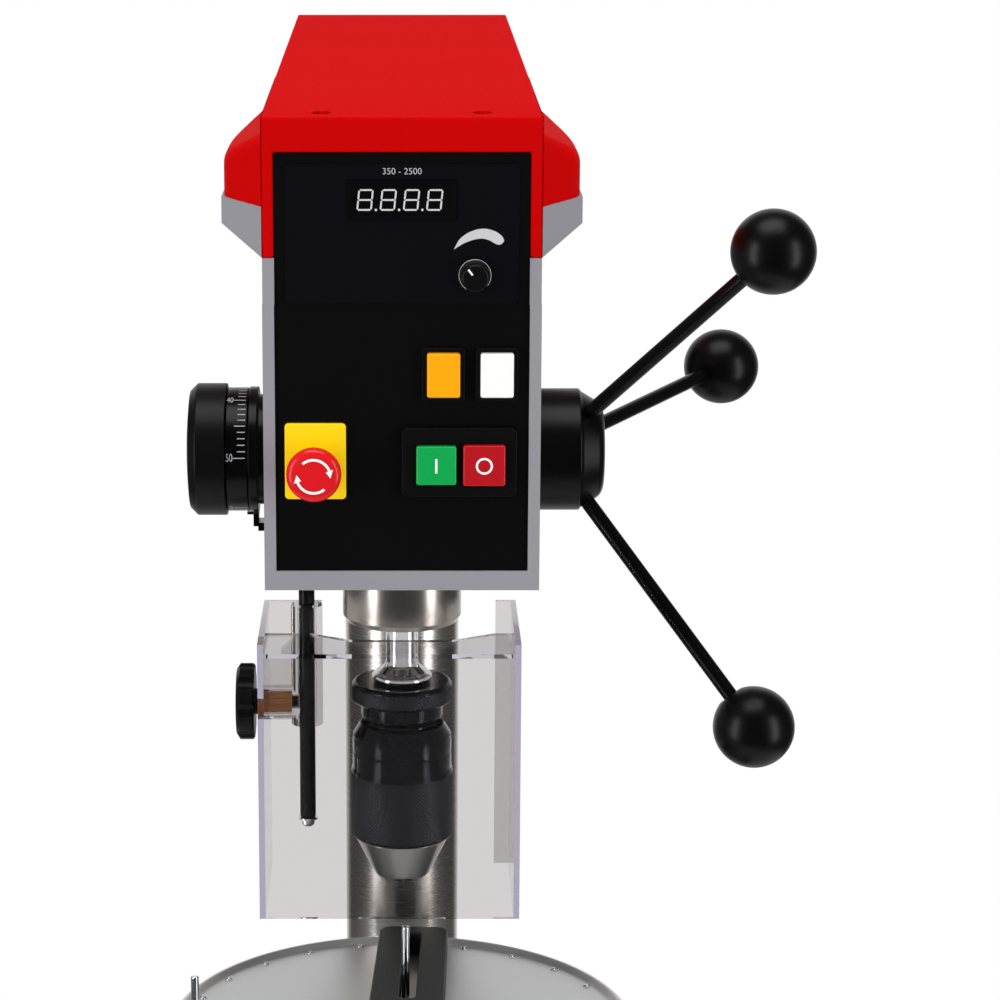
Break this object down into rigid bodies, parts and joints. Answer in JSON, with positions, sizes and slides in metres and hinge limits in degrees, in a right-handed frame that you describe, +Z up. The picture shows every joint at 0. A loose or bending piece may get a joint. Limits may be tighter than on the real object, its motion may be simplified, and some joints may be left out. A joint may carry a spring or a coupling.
{
  "type": "benchtop drill press",
  "caption": "Benchtop drill press: round column, crank-lift tilting round table, belt-driven head with quill feed levers, keyless chuck, swing-away clear guard and a front control panel.",
  "frame": {"origin": "on the bench under the column axis, at the underside of the base", "axes": "+Z up along the column, +X towards the feed levers on the operator's right, -Y towards the operator"},
  "size_m": [0.3465, 0.505, 0.925],
  "materials": {
    "cast_grey": "satin grey paint on cast iron",
    "base_iron": "dark grey painted cast iron",
    "cover_red": "gloss red paint on pressed steel",
    "column_steel": "ground steel tube",
    "ground_steel": "fine ground steel",
    "bright_steel": "bright polished steel",
    "dark_steel": "black oxide",
    "zinc_steel": "zinc plated steel",
    "panel_black": "gloss black sheet",
    "control_black": "moulded black plastic",
    "ball_black": "gloss black thermoset",
    "motor_black": "satin black paint on aluminium",
    "pulley_alu": "turned aluminium",
    "belt_rubber": "ribbed rubber",
    "estop_yellow": "moulded yellow plastic",
    "estop_red": "moulded red plastic",
    "start_green": "moulded green plastic",
    "stop_red": "moulded red plastic",
    "lamp_yellow": "moulded amber plastic",
    "lamp_white": "moulded white plastic",
    "clear_guard": "clear polycarbonate",
    "insert_brass": "turned brass",
    "table_alu": "satin turned table",
    "bar_grey": "dark grey painted steel"
  },
  "bodies": {
    "stand": {"base": "base_iron", "column_flange": "base_iron", "flange_bolts": "zinc_steel", "column": "column_steel", "rack_collar": "base_iron", "set_screws": "dark_steel", "head_casting": "cast_grey", "belt_pan": "cast_grey", "belt_cover": "cover_red", "cover_screws": "dark_steel", "motor": "motor_black", "cable_gland": "control_black", "belt": "belt_rubber", "control_panel": "panel_black", "label_plate": "panel_black", "display_module": "panel_black", "estop_base": "estop_yellow", "switch_frame": "control_black", "button_bezels": "control_black", "spring_case": "dark_steel", "return_spring": "ground_steel", "depth_pointer": "dark_steel"},
    "pulley": {"spindle_pulley": "pulley_alu"},
    "rotor": {"motor_shaft": "ground_steel", "motor_pulley": "pulley_alu"},
    "quill": {"quill": "ground_steel", "quill_bearings": "ground_steel"},
    "spindle": {"spindle": "bright_steel", "chuck_body": "dark_steel"},
    "sleeve": {"chuck_sleeve": "dark_steel"},
    "jaw_1": {"chuck_jaw_1": "ground_steel"},
    "jaw_2": {"chuck_jaw_2": "ground_steel"},
    "jaw_3": {"chuck_jaw_3": "ground_steel"},
    "feed": {"feed_shaft": "ground_steel", "feed_hub": "control_black", "lever_rods": "dark_steel", "ball_knobs": "ball_black", "depth_cap": "control_black"},
    "scale": {"depth_scale": "dark_steel"},
    "start": {"start_button": "start_green"},
    "stop": {"stop_button": "stop_red"},
    "light": {"light_button": "lamp_yellow"},
    "aux": {"aux_button": "lamp_white"},
    "estop": {"estop_stem": "control_black"},
    "estop_cap": {"estop_head": "estop_red"},
    "speed": {"speed_knob": "control_black"},
    "guard_post": {"guard_rod": "dark_steel"},
    "guard": {"guard_shield": "clear_guard", "guard_insert": "insert_brass"},
    "guard_clamp": {"guard_knob": "control_black"},
    "rack": {"lift_rack": "zinc_steel"},
    "arm": {"table_arm": "base_iron"},
    "crank": {"lift_crank": "zinc_steel"},
    "grip": {"crank_grip": "control_black"},
    "arm_clamp": {"arm_lock": "dark_steel"},
    "bracket": {"table_bracket": "base_iron"},
    "table": {"table": "table_alu", "rim_rivets": "bright_steel", "stop_pins": "bright_steel"},
    "bar": {"stop_bar": "bar_grey"}
  },
  "joints": [
    {"name": "pulley_spin", "type": "hinge", "parent": "stand", "child": "pulley", "pos_m": [0, -0.168, 0.85], "axis": [0, 0, 1], "continuous": true},
    {"name": "motor_spin", "type": "hinge", "parent": "stand", "child": "rotor", "pos_m": [0, 0.118, 0.85], "axis": [0, 0, 1], "continuous": true},
    {"name": "quill_feed", "type": "slide", "parent": "stand", "child": "quill", "axis": [0, 0, -1], "range_m": [0, 0.05], "stiffness_N_per_m": 400, "springref_m": -0.2},
    {"name": "spindle_spin", "type": "hinge", "parent": "quill", "child": "spindle", "pos_m": [0, -0.168, 0.6], "axis": [0, 0, 1], "continuous": true},
    {"name": "chuck_tighten", "type": "hinge", "parent": "spindle", "child": "sleeve", "pos_m": [0, -0.168, 0.54], "axis": [0, 0, 1], "range_deg": [0, 1080]},
    {"name": "jaw_1_slide", "type": "slide", "parent": "spindle", "child": "jaw_1", "axis": [0.2079, 0, 0.9781], "range_m": [0, 0.036]},
    {"name": "jaw_2_slide", "type": "slide", "parent": "spindle", "child": "jaw_2", "axis": [-0.104, 0.1801, 0.9781], "range_m": [0, 0.036]},
    {"name": "jaw_3_slide", "type": "slide", "parent": "spindle", "child": "jaw_3", "axis": [-0.104, -0.1801, 0.9781], "range_m": [0, 0.036]},
    {"name": "feed_turn", "type": "hinge", "parent": "stand", "child": "feed", "pos_m": [0, -0.12994, 0.712], "axis": [1, 0, 0], "range_deg": [-2, 300]},
    {"name": "scale_set", "type": "hinge", "parent": "feed", "child": "scale", "pos_m": [-0.087, -0.12994, 0.712], "axis": [1, 0, 0], "range_deg": [-180, 180]},
    {"name": "start_press", "type": "slide", "parent": "stand", "child": "start", "axis": [0, 1, 0], "range_m": [0, 0.0025], "stiffness_N_per_m": 400, "springref_m": -0.004},
    {"name": "stop_press", "type": "slide", "parent": "stand", "child": "stop", "axis": [0, 1, 0], "range_m": [0, 0.0025], "stiffness_N_per_m": 400, "springref_m": -0.004},
    {"name": "light_press", "type": "slide", "parent": "stand", "child": "light", "axis": [0, 1, 0], "range_m": [0, 0.0025], "stiffness_N_per_m": 400, "springref_m": -0.004},
    {"name": "aux_press", "type": "slide", "parent": "stand", "child": "aux", "axis": [0, 1, 0], "range_m": [0, 0.0025], "stiffness_N_per_m": 400, "springref_m": -0.004},
    {"name": "estop_press", "type": "slide", "parent": "stand", "child": "estop", "axis": [0, 1, 0], "range_m": [0, 0.004]},
    {"name": "estop_twist", "type": "hinge", "parent": "estop", "child": "estop_cap", "pos_m": [-0.043, -0.275, 0.7308], "axis": [0, 1, 0], "range_deg": [0, 45]},
    {"name": "speed_turn", "type": "hinge", "parent": "stand", "child": "speed", "pos_m": [0.0353, -0.27, 0.827], "axis": [0, 1, 0], "range_deg": [-105, 165]},
    {"name": "guard_swing", "type": "hinge", "parent": "stand", "child": "guard_post", "pos_m": [-0.051, -0.148, 0.6], "axis": [0, 0, 1], "range_deg": [-100, 0]},
    {"name": "guard_height", "type": "slide", "parent": "guard_post", "child": "guard", "axis": [0, 0, 1], "range_m": [-0.015, 0.035]},
    {"name": "guard_clamp_turn", "type": "hinge", "parent": "guard", "child": "guard_clamp", "pos_m": [-0.08, -0.148, 0.577], "axis": [1, 0, 0], "range_deg": [0, 180]},
    {"name": "table_swing", "type": "hinge", "parent": "stand", "child": "rack", "pos_m": [0, 0, 0.3], "axis": [0, 0, 1], "continuous": true},
    {"name": "table_lift", "type": "slide", "parent": "rack", "child": "arm", "axis": [0, 0, 1], "range_m": [-0.18, 0]},
    {"name": "crank_turn", "type": "hinge", "parent": "arm", "child": "crank", "pos_m": [0.1, 0.051, 0.318], "axis": [1, 0, 0], "range_deg": [-1035, 4]},
    {"name": "grip_spin", "type": "hinge", "parent": "crank", "child": "grip", "pos_m": [0.14, 0.051, 0.243], "axis": [1, 0, 0], "continuous": true},
    {"name": "arm_lock_turn", "type": "hinge", "parent": "arm", "child": "arm_clamp", "pos_m": [-0.07, 0, 0.298], "axis": [1, 0, 0], "range_deg": [-60, 0]},
    {"name": "table_tilt", "type": "hinge", "parent": "arm", "child": "bracket", "pos_m": [0, -0.1, 0.345], "axis": [0, 1, 0], "range_deg": [-30, 30]},
    {"name": "table_spin", "type": "hinge", "parent": "bracket", "child": "table", "pos_m": [0, -0.168, 0.39], "axis": [0, 0, 1], "continuous": true},
    {"name": "bar_slide", "type": "slide", "parent": "table", "child": "bar", "axis": [-0.0401, -0.9992, 0], "range_m": [0, 0.055]}
  ],
  "couplings": [
    {"joint": "motor_spin", "follows": "pulley_spin", "ratio": 1.7333},
    {"joint": "spindle_spin", "follows": "pulley_spin", "ratio": 1},
    {"joint": "feed_turn", "follows": "quill_feed", "rad_per_m": 104.17},
    {"joint": "crank_turn", "follows": "table_lift", "rad_per_m": 100},
    {"joint": "jaw_1_slide", "follows": "chuck_tighten", "m_per_rad": 0.001856},
    {"joint": "jaw_2_slide", "follows": "chuck_tighten", "m_per_rad": 0.001856},
    {"joint": "jaw_3_slide", "follows": "chuck_tighten", "m_per_rad": 0.001856}
  ]
}
